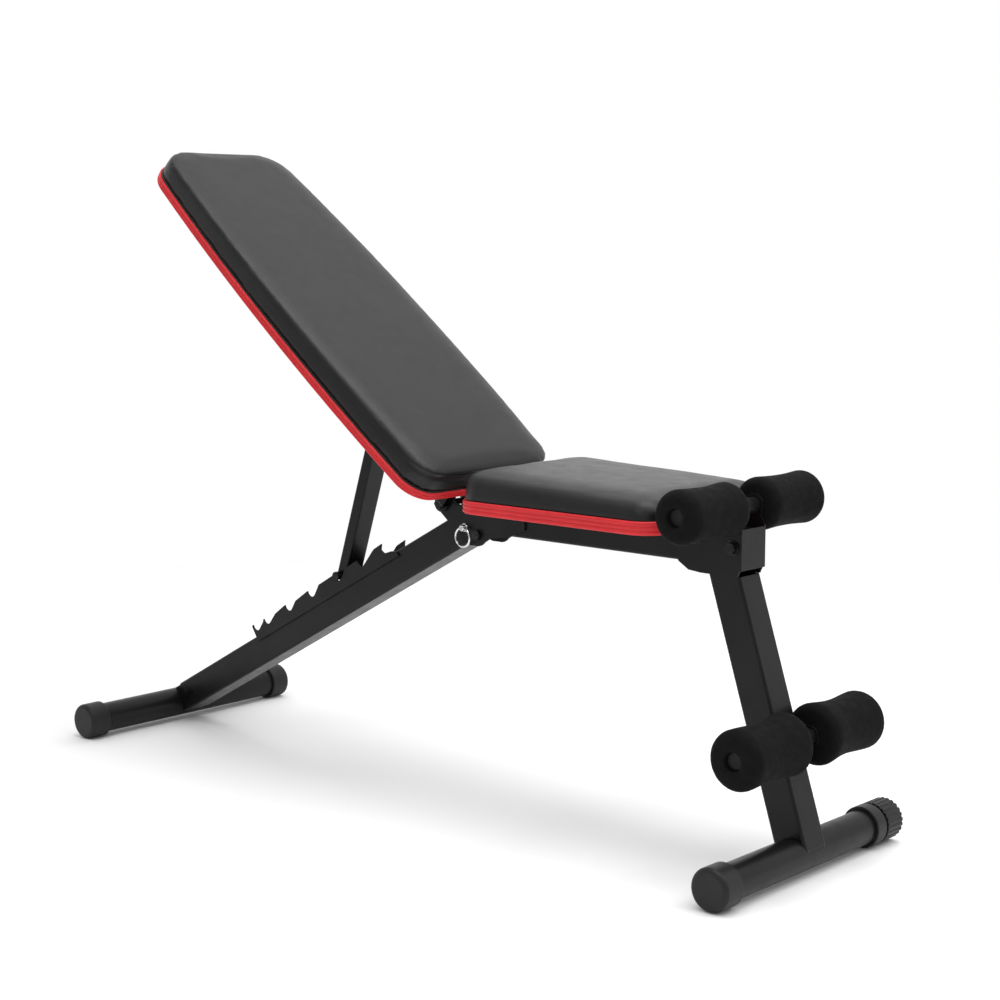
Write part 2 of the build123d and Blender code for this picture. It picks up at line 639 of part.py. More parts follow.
strut_dx = STRUT_PIVOT[0] - STRUT_ROD[0]
strut_dz = STRUT_PIVOT[1] - STRUT_ROD[1]
strut_length = (strut_dx ** 2 + strut_dz ** 2) ** 0.5
strut_dir = (strut_dx / strut_length, 0, strut_dz / strut_length)
strut_start = Plane(origin=(STRUT_ROD[0], 0, STRUT_ROD[1]), x_dir=(0, 1, 0), z_dir=strut_dir)
with BuildPart() as strut:
    with BuildSketch(strut_start.offset(-STRUT_TAIL)):
        RectangleRounded(STRUT_WIDTH, STRUT_DEPTH, STRUT_CORNER)
        RectangleRounded(STRUT_WIDTH - 2 * STRUT_WALL, STRUT_DEPTH - 2 * STRUT_WALL, STRUT_CORNER / 2,
                         mode=Mode.SUBTRACT)
    extrude(amount=strut_length + STRUT_TAIL + STRUT_DEPTH / 2)
    with BuildSketch(side_plane(STRUT_PIVOT)):
        Circle(BOLT_R + PIN_PLAY)
    extrude(amount=TUBE, both=True, mode=Mode.SUBTRACT)
    with BuildSketch(side_plane(STRUT_ROD)):
        Circle(ROD_R)
    extrude(amount=TUBE, both=True, mode=Mode.SUBTRACT)
save(strut.part, "strut")

with BuildPart() as strut_rod:
    with BuildSketch(side_plane(STRUT_ROD)):
        Circle(ROD_R)
    extrude(amount=ROD_HALF, both=True)
    chamfer(strut_rod.edges().filter_by(GeomType.CIRCLE), length=ROD_CHAMFER)
save(strut_rod.part, "strut_rod")

# ==== rear leg ================================================================================
leg_side = side_plane(REAR_BAR, LEG_SLOPE)
leg_a = radians(LEG_SLOPE)
leg_section = Plane(origin=(REAR_BAR[0], 0, REAR_BAR[1]), x_dir=(0, 1, 0),
                    z_dir=(cos(leg_a), 0, sin(leg_a)))
pivot_x, pivot_y = leg_xy(LEG_PIVOT)
pin_x, pin_y = leg_xy(LOCK_PIN)
with BuildPart() as rear_leg:
    with BuildSketch(leg_section.offset(LEG_START)):
        RectangleRounded(TUBE, TUBE, TUBE_CORNER)
        RectangleRounded(TUBE - 2 * TUBE_WALL, TUBE - 2 * TUBE_WALL, TUBE_CORNER - TUBE_WALL,
                         mode=Mode.SUBTRACT)
    extrude(amount=LEG_TOP_END - LEG_START)
    for hole, radius in (((pivot_x, pivot_y), SLEEVE_R), ((FOOT_BOLT, 0), BOLT_R)):
        with BuildSketch(leg_side):
            with Locations(hole):
                Circle(radius)
        extrude(amount=TUBE, both=True, mode=Mode.SUBTRACT)
    with BuildSketch(leg_side):
        with Locations((pin_x, pin_y)):
            Circle(PIN_R + GAP)
    extrude(amount=TUBE, mode=Mode.SUBTRACT)
save(rear_leg.part, "rear_leg")

with BuildPart() as leg_pivot_sleeve:
    with BuildSketch(leg_side):
        with Locations((pivot_x, pivot_y)):
            Circle(SLEEVE_R)
            Circle(BOLT_R + PIN_PLAY, mode=Mode.SUBTRACT)
    extrude(amount=TUBE / 2, both=True)
save(leg_pivot_sleeve.part, "leg_pivot_sleeve")


def to_leg(dx, dz):
    """A side-view offset turned into leg coordinates."""
    return (dx * cos(leg_a) + dz * sin(leg_a), -dx * sin(leg_a) + dz * cos(leg_a))


def shifted(point, dx, dz):
    """A point in leg coordinates moved by a side-view offset."""
    turned = to_leg(dx, dz)
    return (point[0] + turned[0], point[1] + turned[1])


rod_at = leg_xy(STRUT_ROD)
notch_home = shifted(rod_at, *NOTCH_OFF)
tip_home = shifted(notch_home, -NOTCH_R, 0)
outline = [(RACK_START, RACK_LOW), (RACK_START - 1, RACK_LOW + 14)]
outline.append((tip_home[0] + NOTCHES[0][0] - 4, RACK_TIP - 2))
for pitch, run, shoulder in NOTCHES:
    outline += [(tip_home[0] + pitch, RACK_TIP), (tip_home[0] + pitch + run, shoulder)]
outline += [*RACK_NOSE, (RACK_END, RACK_LOW)]
for name, side in (("rack_near", -1), ("rack_far", 1)):
    face_y = -TUBE / 2 if side < 0 else TUBE / 2 + PLATE
    rack_plane = side_plane(REAR_BAR, LEG_SLOPE, y=face_y)
    with BuildPart() as rack:
        with BuildSketch(rack_plane):
            with BuildLine():
                Polyline(*outline, close=True)
            make_face()
            for pitch, run, shoulder in NOTCHES:
                centre = (notch_home[0] + pitch, notch_home[1])
                edge = (tip_home[0] + pitch + run, shoulder)
                with Locations(centre):
                    Circle(NOTCH_R, mode=Mode.SUBTRACT)
                with BuildLine():
                    Polyline(shifted(centre, -NOTCH_R, 0), shifted(centre, -NOTCH_R, MOUTH_HEIGHT),
                             shifted(edge, 4, MOUTH_HEIGHT), edge,
                             shifted(centre, NOTCH_R * cos(MOUTH_TURN), -NOTCH_R * sin(MOUTH_TURN)),
                             close=True)
                make_face(mode=Mode.SUBTRACT)
        extrude(amount=PLATE)
    save(rack.part, name)

# ==== rear foot ===============================================================================
with BuildPart() as rear_foot_bar:
    with BuildSketch(side_plane(REAR_BAR)):
        Circle(ROUND_R)
        Circle(ROUND_R - TUBE_WALL, mode=Mode.SUBTRACT)
    extrude(amount=REAR_BAR_HALF - CAP_END, both=True)
save(rear_foot_bar.part, "rear_foot_bar")
for name, side in (("rear_foot_cap_near", -1), ("rear_foot_cap_far", 1)):
    save(make_cap(side * (REAR_BAR_HALF - CAP_LENGTH), side * REAR_BAR_HALF, REAR_BAR), name)

with BuildPart() as rear_foot_stub:
    with BuildSketch(leg_section):
        RectangleRounded(STUB, STUB, TUBE_CORNER - TUBE_WALL)
        RectangleRounded(STUB - 2 * PLATE, STUB - 2 * PLATE, 1, mode=Mode.SUBTRACT)
    extrude(amount=STUB_END)
    with BuildSketch(side_plane(REAR_BAR)):
        Circle(ROUND_R)
    extrude(amount=TUBE, both=True, mode=Mode.SUBTRACT)
    with BuildSketch(leg_side):
        with Locations((FOOT_BOLT, 0)):
            Circle(BOLT_R)
    extrude(amount=TUBE, both=True, mode=Mode.SUBTRACT)
save(rear_foot_stub.part, "rear_foot_stub")
foot_bolt_at = (REAR_BAR[0] + FOOT_BOLT * cos(leg_a), REAR_BAR[1] + FOOT_BOLT * sin(leg_a))
save(make_pivot_bolt(foot_bolt_at, TUBE / 2, TUBE / 2), "rear_foot_bolt")

# ==== lock pin and ring =======================================================================
with BuildPart() as lock_pin:
    collar_end = PLATE_OUT + GAP + PIN_COLLAR
    for start, end, radius in ((PIN_TIP, PLATE_OUT + GAP, PIN_R),
                               (PLATE_OUT + GAP, collar_end, PIN_COLLAR_R),
                               (collar_end, PIN_HEAD_END, PIN_HEAD_R)):
        with BuildSketch(side_plane(LOCK_PIN, y=-start)):
            Circle(radius)
        extrude(amount=end - start)
    chamfer(lock_pin.faces().sort_by(Axis.Y)[0].edges(), length=1)
    chamfer(lock_pin.faces().sort_by(Axis.Y)[-1].edges(), length=0.8)
    with BuildSketch(Plane(origin=(LOCK_PIN[0] - PIN_COLLAR_R, -RING_Y, LOCK_PIN[1]), x_dir=(0, 1, 0),
                           z_dir=(1, 0, 0))):
        Circle(RING_HOLE_R)
    extrude(amount=2 * PIN_COLLAR_R, mode=Mode.SUBTRACT)
save(lock_pin.part, "lock_pin")

ring_centre = (LOCK_PIN[0], -RING_Y, LOCK_PIN[1] - RING_R)
with BuildPart() as pull_ring:
    with BuildSketch(Plane(origin=ring_centre, x_dir=(1, 0, 0), z_dir=(0, 0, 1))):
        with Locations((RING_R, 0)):
            Circle(RING_WIRE)
    revolve(axis=Axis(ring_centre, (0, 1, 0)))
save(pull_ring.part, "pull_ring")
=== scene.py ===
import json
from math import cos, pi, radians, sin

import bmesh
import bpy
import numpy as np
from mathutils import Matrix, Vector, noise


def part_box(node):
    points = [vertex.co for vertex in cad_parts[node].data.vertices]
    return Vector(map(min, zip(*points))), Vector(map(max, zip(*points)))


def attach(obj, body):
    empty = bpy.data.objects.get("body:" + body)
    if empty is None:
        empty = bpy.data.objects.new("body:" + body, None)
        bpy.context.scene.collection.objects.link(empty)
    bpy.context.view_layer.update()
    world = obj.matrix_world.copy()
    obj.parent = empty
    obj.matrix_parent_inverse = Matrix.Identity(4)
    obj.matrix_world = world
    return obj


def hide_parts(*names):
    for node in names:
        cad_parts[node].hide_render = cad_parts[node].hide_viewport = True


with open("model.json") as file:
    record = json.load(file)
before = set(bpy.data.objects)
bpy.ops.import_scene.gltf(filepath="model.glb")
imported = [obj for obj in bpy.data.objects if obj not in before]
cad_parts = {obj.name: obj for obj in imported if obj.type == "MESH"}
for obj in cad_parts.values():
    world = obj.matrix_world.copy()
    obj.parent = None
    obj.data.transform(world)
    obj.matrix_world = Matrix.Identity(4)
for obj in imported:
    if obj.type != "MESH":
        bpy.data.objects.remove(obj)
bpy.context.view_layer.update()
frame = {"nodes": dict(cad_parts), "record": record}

NODES = frame["nodes"]
RECORD = frame["record"]
JOINTS = {j["name"]: j for j in RECORD["behaviour"]["joints"]}
BASE = {m["slot"]: m["base_color"][:3] for m in RECORD["materials"]}
MM = 0.001

BACK_SLOPE = radians(38.3)  # the backrest's board above horizontal
PAD_VOXEL = 4.5 * MM
PAD_SWELL = 3.5 * MM  # the most the stuffing moves the cover
CLOTH_FRAMES = 20
HELD_HEIGHT = 8 * MM  # the cover is held to its board up to here
RELAX_ROUNDS = 24
GATHER_DEPTH = 0.3 * MM  # small gathers where the cover turns a corner
COVER_WAVES = 0.5 * MM  # broad unevenness of the stuffing
ROLLER_SEGMENTS = 120
ROLLER_BORE = 11.2 * MM
PLUG_POCKET_R = 12.7 * MM
PLUG_THICKNESS = 3.2 * MM
FOAM_LUMPS = 0.7 * MM
FLOOR_RADIUS = 2.2
FLOOR_SIDES = 96
LAMPS = (  # name, place, size and power; all look at LAMP_TARGET
    ("top", (0.5, 0.1, 3.4), 2.6, 64), ("key", (2.4, 0.4, 2.8), 1.8, 26),
    ("front", (0.8, -2.8, 3.0), 2.0, 20))
LAMP_TARGET = (0, 0, 0.4)
BRIGHT_SIDE = (-0.45, 0.89, 0.0)  # the studio glows most behind the bench, as the camera sees it
CAMERA_AT = (2.0672, -2.1778, 0.859)
CAMERA_AZIMUTH = radians(42.04)
CAMERA_ELEVATION = radians(7.66)
CAMERA_LENS = 69.89


# ---- node materials -------------------------------------------------------------------------
class Shader:
    """A Principled material with helpers that add texture nodes in real-scale object space."""

    def __init__(self, name):
        self.mat = bpy.data.materials.new(name)
        self.mat.use_nodes = True
        self.tree = self.mat.node_tree
        self.bsdf = self.tree.nodes["Principled BSDF"]
        self.coord = self.tree.nodes.new("ShaderNodeTexCoord").outputs["Object"]
        self.height = None

    def node(self, kind, **settings):
        n = self.tree.nodes.new(kind)
        for key, value in settings.items():
            setattr(n, key, value)
        return n

    def link(self, a, b):
        self.tree.links.new(a, b)

    def set(self, **values):
        for key, value in values.items():
            self.bsdf.inputs[key.replace("_", " ")].default_value = value

    def noise(self, scale, detail=3.0, rough=0.5, stretch=None):
        n = self.node("ShaderNodeTexNoise")
        n.inputs["Scale"].default_value = scale
        n.inputs["Detail"].default_value = detail
        n.inputs["Roughness"].default_value = rough
        if stretch:
            m = self.node("ShaderNodeMapping")
            m.inputs["Scale"].default_value = stretch
            self.link(self.coord, m.inputs["Vector"])
            self.link(m.outputs["Vector"], n.inputs["Vector"])
        else:
            self.link(self.coord, n.inputs["Vector"])
        return n.outputs["Fac"]

    def cells(self, scale, feature="DISTANCE_TO_EDGE"):
        n = self.node("ShaderNodeTexVoronoi", feature=feature)
        n.inputs["Scale"].default_value = scale
        self.link(self.coord, n.inputs["Vector"])
        return n.outputs["Distance"]

    def spread(self, fac, low, high, start=0.3, end=0.7):
        n = self.node("ShaderNodeMapRange")
        n.inputs["From Min"].default_value = start
        n.inputs["From Max"].default_value = end
        n.inputs["To Min"].default_value = low
        n.inputs["To Max"].default_value = high
        self.link(fac, n.inputs["Value"])
        return n.outputs["Result"]

    def ramp(self, fac, stops):
        n = self.node("ShaderNodeValToRGB")
        n.color_ramp.elements[0].position = stops[0][0]
        n.color_ramp.elements[0].color = (*stops[0][1], 1)
        n.color_ramp.elements[1].position = stops[-1][0]
        n.color_ramp.elements[1].color = (*stops[-1][1], 1)
        for position, colour in stops[1:-1]:
            n.color_ramp.elements.new(position).color = (*colour, 1)
        self.link(fac, n.inputs["Fac"])
        return n.outputs["Color"]

    def colour(self, fac, *stops):
        self.link(self.ramp(fac, stops), self.bsdf.inputs["Base Color"])

    def roughness(self, fac, low, high):
        self.link(self.spread(fac, low, high), self.bsdf.inputs["Roughness"])

    def bump(self, fac, distance, strength=1.0):
        n = self.node("ShaderNodeBump")
        n.inputs["Strength"].default_value = strength
        n.inputs["Distance"].default_value = distance
        self.link(fac, n.inputs["Height"])
        if self.height is not None:
            self.link(self.height, n.inputs["Normal"])
        self.height = n.outputs["Normal"]
        self.link(self.height, self.bsdf.inputs["Normal"])

    def round_edges(self, radius):
        n = self.node("ShaderNodeBevel", samples=4)
        n.inputs["Radius"].default_value = radius
        self.height = n.outputs["Normal"]
        self.link(self.height, self.bsdf.inputs["Normal"])


def tint(slot, factor):
    """The record's colour for a slot, made darker or lighter."""
    return tuple(min(1.0, c * factor) for c in BASE[slot])


def powder_coat():
    s = Shader("powder_coat")
    s.round_edges(0.7 * MM)
    s.colour(s.noise(14, 4), (0.3, tint("frame_paint", 0.28)), (0.7, tint("frame_paint", 0.42)))
    s.roughness(s.noise(60, 5, 0.6), 0.30, 0.42)
    s.set(Specular_IOR_Level=0.2)
    s.bump(s.noise(650, 2), 0.05 * MM, 0.5)
    s.bump(s.noise(45, 2), 0.12 * MM, 0.25)
    return s.mat


def black_zinc():
    s = Shader("black_zinc")
    s.round_edges(0.5 * MM)
    s.colour(s.noise(220, 4), (0.3, (0.018, 0.018, 0.019)), (0.6, (0.032, 0.032, 0.033)),
             (0.85, (0.1, 0.096, 0.092)))
    s.roughness(s.noise(400, 3), 0.26, 0.46)
    s.set(Metallic=0.9)
    s.bump(s.noise(1400, 2), 0.03 * MM, 0.4)
    return s.mat


def chrome():
    s = Shader("pin_chrome")
    s.colour(s.noise(160, 3), (0.3, tint("pin_chrome", 0.86)), (0.7, tint("pin_chrome", 1)))
    s.roughness(s.noise(500, 4), 0.08, 0.2)
    s.set(Metallic=1.0)
    s.bump(s.noise(900, 2), 0.02 * MM, 0.3)
    return s.mat


def moulded_plastic():
    s = Shader("moulded_plastic")
    s.round_edges(0.5 * MM)
    s.colour(s.noise(30, 4), (0.3, tint("cap_plastic", 0.36)), (0.7, tint("cap_plastic", 0.53)))
    s.roughness(s.noise(120, 4), 0.40, 0.52)
    s.set(Specular_IOR_Level=0.26)
    s.bump(s.cells(1100, "F1"), 0.06 * MM, 0.5)
    return s.mat


def roller_foam():
    s = Shader("roller_foam")
    # Pore pits: the bump presses them in, and their centres are painted near-black as painted shade.
    pores_and_pore_shade = s.cells(900, "F1")
    s.colour(pores_and_pore_shade, (0.0, (0.002, 0.002, 0.002)), (0.25, tint("roller_foam", 0.14)),
             (0.8, tint("roller_foam", 0.26)))
    s.roughness(s.noise(90, 3), 0.78, 0.95)
    s.set(Specular_IOR_Level=0.10)
    s.bump(s.noise(26, 3), 0.5 * MM, 0.35)
    s.bump(pores_and_pore_shade, 0.25 * MM, 0.8)
    s.bump(s.noise(2400, 2), 0.1 * MM, 0.6)
    return s.mat


def vinyl():
    s = Shader("vinyl")
    s.colour(s.noise(9, 5, 0.6), (0.3, tint("vinyl", 0.21)), (0.7, tint("vinyl", 0.28)))
    s.roughness(s.noise(38, 4), 0.31, 0.38)
    s.set(Specular_IOR_Level=0.31)
    s.bump(s.noise(7, 2), 1.2 * MM, 0.08)
    s.bump(s.spread(s.cells(560), 0, 1, 0.0, 0.16), 0.14 * MM, 0.55)
    s.bump(s.noise(1700, 3), 0.05 * MM, 0.5)
    return s.mat


def edge_trim():
    s = Shader("edge_trim")
    s.colour(s.noise(24, 4), (0.3, (0.60, 0.024, 0.030)), (0.7, (0.68, 0.030, 0.036)))
    s.roughness(s.noise(150, 4), 0.34, 0.46)
    s.set(Specular_IOR_Level=0.22)
    s.bump(s.noise(700, 2), 0.05 * MM, 0.4)
    return s.mat


def faced_board():
    s = Shader("faced_board")
    grain = s.noise(30, 6, 0.65, stretch=(0.6, 9.0, 9.0))
    s.colour(grain, (0.25, tint("board", 0.5)), (0.5, tint("board", 0.9)), (0.8, tint("board", 1.5)))
    s.roughness(s.noise(60, 4), 0.55, 0.75)
    s.bump(grain, 0.3 * MM, 0.4)
    return s.mat


# A darker copy of the cap plastic for the roller end plugs: painted shade for plugs sitting in the
# roller-end pockets.
def shaded_plug_plastic():
    s = Shader("shaded_plug_plastic")
    s.round_edges(0.6 * MM)
    s.colour(s.noise(60, 3), (0.3, (0.008, 0.008, 0.008)), (0.7, (0.014, 0.014, 0.014)))
    s.roughness(s.noise(140, 3), 0.45, 0.6)
    s.set(Specular_IOR_Level=0.2)
    s.bump(s.noise(900, 2), 0.05 * MM, 0.4)
    return s.mat


MATERIALS = {
    "frame_paint": powder_coat(),
    "hardware": black_zinc(),
    "pin_chrome": chrome(),
    "cap_plastic": moulded_plastic(),
    "roller_foam": roller_foam(),
    "vinyl": vinyl(),
    "edge_trim": edge_trim(),
    "board": faced_board(),
}
MATERIALS["roller_tube"] = MATERIALS["frame_paint"]
for part in RECORD["subparts"]:
    mesh = NODES[part["node"]].data
    mesh.materials.clear()
    mesh.materials.append(MATERIALS[part["material_slot"]])
# The roller end plugs get the darker copy of the cap plastic, as painted shade in their pockets.
SHADED_PLUG_PLASTIC = shaded_plug_plastic()
for node in ("upper_roller_plugs", "lower_roller_plugs"):
    NODES[node].data.materials[0] = SHADED_PLUG_PLASTIC


# ---- mesh helpers -----------------------------------------------------------------------------
def finish_piece(obj, slot, body, *nodes):
    """Shade a finished mesh, give it its slot's material and let it stand for CAD nodes."""
    for polygon in obj.data.polygons:
        polygon.use_smooth = True
    obj.data.materials.clear()
    obj.data.materials.append(MATERIALS[slot])
    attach(obj, body)
    if nodes:
        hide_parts(*nodes)


def new_object(name, verts, faces):
    mesh = bpy.data.meshes.new(name)
    mesh.from_pydata([tuple(v) for v in verts], [], faces)
    bm = bmesh.new()
    bm.from_mesh(mesh)
    bmesh.ops.recalc_face_normals(bm, faces=bm.faces)
    bm.to_mesh(mesh)
    bm.free()
    obj = bpy.data.objects.new(name, mesh)
    bpy.context.scene.collection.objects.link(obj)
    return obj


def tube_of_rings(name, rings, closed=False, caps=False):
    """A mesh through equal-length rings of points; closed joins the last ring to the first."""
    count, size = len(rings), len(rings[0])
    verts = [p for ring in rings for p in ring]
    faces = []
    for i in range(count if closed else count - 1):
        j = (i + 1) % count
        for k in range(size):
            m = (k + 1) % size
            faces.append((i * size + k, i * size + m, j * size + m, j * size + k))
    if caps:
        faces.append(tuple(reversed(range(size))))
        faces.append(tuple((count - 1) * size + k for k in range(size)))
    return new_object(name, verts, faces)


def evaluated_copy(obj):
    """Bake the modifiers of obj into its mesh."""
    graph = bpy.context.evaluated_depsgraph_get()
    mesh = bpy.data.meshes.new_from_object(obj.evaluated_get(graph))
    obj.modifiers.clear()
    obj.data = mesh


def modified(obj, kind, **settings):
    modifier = obj.modifiers.new(kind, kind)
    for key, value in settings.items():
        setattr(modifier, key, value)
    evaluated_copy(obj)


def read(obj):
    co = np.empty(len(obj.data.vertices) * 3, np.float32)
    obj.data.vertices.foreach_get("co", co)
    return co.reshape(-1, 3).astype(float)


def write(obj, co):
    obj.data.vertices.foreach_set("co", co.astype(np.float32).ravel())
    obj.data.update()


class Slab:
    """A board's own coordinates: u along it, v across, w up through it."""

    def __init__(self, origin, along, up):
        self.origin = np.array(origin, float)
        u = np.array(along, float)
        w = np.array(up, float)
        self.axes = np.stack([u, np.cross(w, u), w])

    def local(self, points):
        return (np.asarray(points, float) - self.origin) @ self.axes.T

    def world(self, points):
        return np.asarray(points, float) @ self.axes + self.origin

    def node(self, name):
        return self.local(read(NODES[name]))


def convex_outline(points, spacing):
    """The convex outline of 2-D points, resampled evenly, counter-clockwise."""
    pts = sorted(set((round(float(x), 6), round(float(y), 6)) for x, y in points))

    def half(sequence):
        chain = []
        for p in sequence:
            while len(chain) > 1 and ((chain[-1][0] - chain[-2][0]) * (p[1] - chain[-2][1])
                                      - (chain[-1][1] - chain[-2][1]) * (p[0] - chain[-2][0])) <= 0:
                chain.pop()
            chain.append(p)
        return chain[:-1]

    hull = np.array(half(pts) + half(pts[::-1]))
    closed = np.vstack([hull, hull[:1]])
    run = np.concatenate([[0], np.cumsum(np.linalg.norm(np.diff(closed, axis=0), axis=1))])
    count = int(run[-1] / spacing)
    at = np.linspace(0, run[-1], count, endpoint=False)
    return np.stack([np.interp(at, run, closed[:, 0]), np.interp(at, run, closed[:, 1])], 1)


def outward(loop):
    tangent = np.roll(loop, -1, 0) - np.roll(loop, 1, 0)
    tangent /= np.linalg.norm(tangent, axis=1, keepdims=True)
    for _ in range(3):
        tangent = (np.roll(tangent, 1, 0) + 2 * tangent + np.roll(tangent, -1, 0)) / 4
    tangent /= np.linalg.norm(tangent, axis=1, keepdims=True)
    return np.stack([tangent[:, 1], -tangent[:, 0]], 1)


# ---- cushions --------------------------------------------------------------------------------
def relaxed(obj, move, rounds):
    """Even out a per-vertex movement over the mesh's edges, so that no wrinkle is left in it."""
    edges = np.empty(len(obj.data.edges) * 2, np.int64)
    obj.data.edges.foreach_get("vertices", edges)
    a, b = edges.reshape(-1, 2).T
    count = np.maximum(np.bincount(a, minlength=len(move)) + np.bincount(b, minlength=len(move)), 1)
    for _ in range(rounds):
        total = np.zeros_like(move)
        np.add.at(total, a, move[b])
        np.add.at(total, b, move[a])
        move = 0.5 * move + 0.5 * total / count[:, None]
    return move


def swell(obj, slab, low):
    """Blow the cover up a little over its stuffing, held along its lower edge."""
    start = read(obj)
    group = obj.vertex_groups.new(name="held")
    held = np.nonzero(slab.local(start)[:, 2] < low + HELD_HEIGHT)[0]
    group.add([int(i) for i in held], 1.0, "REPLACE")
    cloth = obj.modifiers.new("Cloth", "CLOTH")
    cloth.settings.quality = 5
    cloth.settings.mass = 0.3
    cloth.settings.tension_stiffness = 12
    cloth.settings.compression_stiffness = 9
    cloth.settings.shear_stiffness = 6
    cloth.settings.bending_stiffness = 0.6
    cloth.settings.use_pressure = True
    cloth.settings.uniform_pressure_force = 4.0
    cloth.settings.vertex_group_mass = "held"
    cloth.settings.effector_weights.gravity = 0
    cloth.point_cache.frame_start = 1
    cloth.point_cache.frame_end = CLOTH_FRAMES
    for number in range(1, CLOTH_FRAMES + 1):
        bpy.context.scene.frame_set(number)
    evaluated_copy(obj)
    bpy.context.scene.frame_set(1)
    move = read(obj) - start
    size = np.linalg.norm(move, axis=1, keepdims=True)
    move *= np.minimum(1, PAD_SWELL / np.maximum(size, 1e-9))
    write(obj, start + relaxed(obj, move, RELAX_ROUNDS))


def hump(distance, centre, width):
    """A smooth hump of height 1 at centre, gone a few widths away."""
    return np.exp(-(((distance - centre) / width) ** 2))


def facing_low(loop):
    """How squarely each outline point faces the board's lower end, from 0 to 1."""
    return np.clip(-outward(loop)[:, 0], 0, 1) ** 0.5


def tailor(obj, slab, loop, low, top_at, lip):
    """Sew the cover: a lip over a hollow along the lower end wall, and gathers round the corners."""
    co = slab.local(read(obj))
    normal = outward(loop)
    lips = lip * facing_low(loop)
    turn = np.linalg.norm(np.roll(normal, -1, 0) - np.roll(normal, 1, 0), axis=1)
    turn = np.clip(turn / 0.25, 0, 1)
    for i, point in enumerate(co):
        nearest = int(np.argmin(((loop - point[:2]) ** 2).sum(1)))
        gap = np.linalg.norm(loop[nearest] - point[:2])
        if gap < 30 * MM:
            below = top_at(point[0]) - point[2]
            side = hump(gap, 0, 11 * MM)
            seam = lips[nearest] * hump(below, 6 * MM, 3.2 * MM)
            hollow = 1.2 * lips[nearest] * hump(below, 13 * MM, 4 * MM)
            fade = np.exp(-(point[2] - low) / (9 * MM))
            gather = turn[nearest] * fade * sin(nearest * 1.8) * GATHER_DEPTH
            co[i, :2] += normal[nearest] * side * (seam - hollow + gather)
        broad = noise.noise(Vector(point * 9.0)) * COVER_WAVES
        co[i, 2] += broad * np.clip((point[2] - low) / (30 * MM), 0, 1)
    write(obj, slab.world(co))


def cushion(name, node, slab, body, edge_rounds, crown, lip):
    """A stuffed pad over its board: upright walls, a rounded edge and a slightly crowned top.

    edge_rounds are the top edge's radii at the two ends of the board."""
    pts = slab.node(node)
    low = pts[:, 2].min()
    u0, u1 = pts[:, 0].min(), pts[:, 0].max()
    at_start = pts[pts[:, 0] < u0 + 0.15 * (u1 - u0)][:, 2].max()
    at_end = pts[pts[:, 0] > u1 - 0.15 * (u1 - u0)][:, 2].max()
    loop = convex_outline(pts[:, :2], 5 * MM)
    normal = outward(loop)

    def top_at(u):
        share = np.clip((u - u0) / (u1 - u0), 0, 1)
        return at_start + (at_end - at_start) * share

    top = top_at(loop[:, 0]) - 1.5 * MM
    share = np.clip((loop[:, 0] - u0) / (u1 - u0), 0, 1)
    edge_round = edge_rounds[0] + (edge_rounds[1] - edge_rounds[0]) * np.minimum(1, share * 1.6)
    edge_round = edge_round - 2.5 * lip * facing_low(loop)
    rings = []

    def ring(inset, height):
        flat = loop - normal * np.broadcast_to(inset, len(loop))[:, None]
        rings.append(slab.world(np.column_stack([flat, height])))

    wall = top - edge_round - low
    for part_up, inset in ((0, 0.6), (0.12, 0.4), (0.4, -0.4), (0.7, -0.4), (1.0, 0.0)):
        ring(inset * MM, low + wall * part_up)
    for step in range(1, 7):
        a = step / 6 * pi / 2
        ring(edge_round * (1 - cos(a)), top - edge_round + edge_round * sin(a))
    ring(edge_round + 9 * MM, top + crown * 0.2)
    obj = tube_of_rings(name, rings, caps=True)
    modified(obj, "REMESH", mode="VOXEL", voxel_size=PAD_VOXEL, use_smooth_shade=True)
    local = slab.local(read(obj))
    half = np.abs(loop[:, 1]).max()
    upper = np.clip((local[:, 2] - low - 20 * MM) / (10 * MM), 0, 1)
    local[:, 2] += crown * upper * np.clip(1 - (local[:, 1] / half) ** 2, 0, 1) ** 0.7
    write(obj, slab.world(local))
    modified(obj, "SMOOTH", factor=0.5, iterations=3)
    swell(obj, slab, low)
    modified(obj, "SUBSURF", levels=1, render_levels=1)
    tailor(obj, slab, loop, low, top_at, lip)
    finish_piece(obj, "vinyl", body, node)


def ribbed_band(name, node, slab, body):
    """The ribbed edging round a board: one extruded strip with three rounded ribs."""
    pts = slab.node(node)
    low, high = pts[:, 2].min(), pts[:, 2].max()
    loop = convex_outline(pts[:, :2], 4 * MM)
    normal = outward(loop)
    profile = [(3.0 * MM, 0.02), (1.9 * MM, 0.0)]
    for step in range(25):
        t = step / 24
        rib = abs(sin(3 * pi * t)) ** 0.7
        profile.append((1.5 * MM - 1.4 * MM * rib, 0.03 + 0.94 * t))
    profile += [(1.9 * MM, 1.0), (3.0 * MM, 0.98)]
    rings = []
    for inset, up in profile:
        height = np.full(len(loop), low + (high - low) * up)
        rings.append(slab.world(np.column_stack([loop - normal * inset, height])))
    obj = tube_of_rings(name, rings, closed=True)
    finish_piece(obj, "edge_trim", body, node)


seat_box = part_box("seat_trim")
seat_slab = Slab((seat_box[0].x, 0, seat_box[0].z), (1, 0, 0), (0, 0, 1))
hinge = JOINTS["back_recline"]["pos_m"]
back_slab = Slab(hinge, (-cos(BACK_SLOPE), 0, sin(BACK_SLOPE)), (sin(BACK_SLOPE), 0, cos(BACK_SLOPE)))

cushion("seat_pad_cover", "seat_cushion", seat_slab, "frame", (17 * MM, 17 * MM), 5 * MM, 0.0)
cushion("back_pad_cover", "back_cushion", back_slab, "backrest", (13 * MM, 6 * MM), 2 * MM, 2.2 * MM)
ribbed_band("seat_edging", "seat_trim", seat_slab, "frame")
ribbed_band("back_edging", "back_trim", back_slab, "backrest")


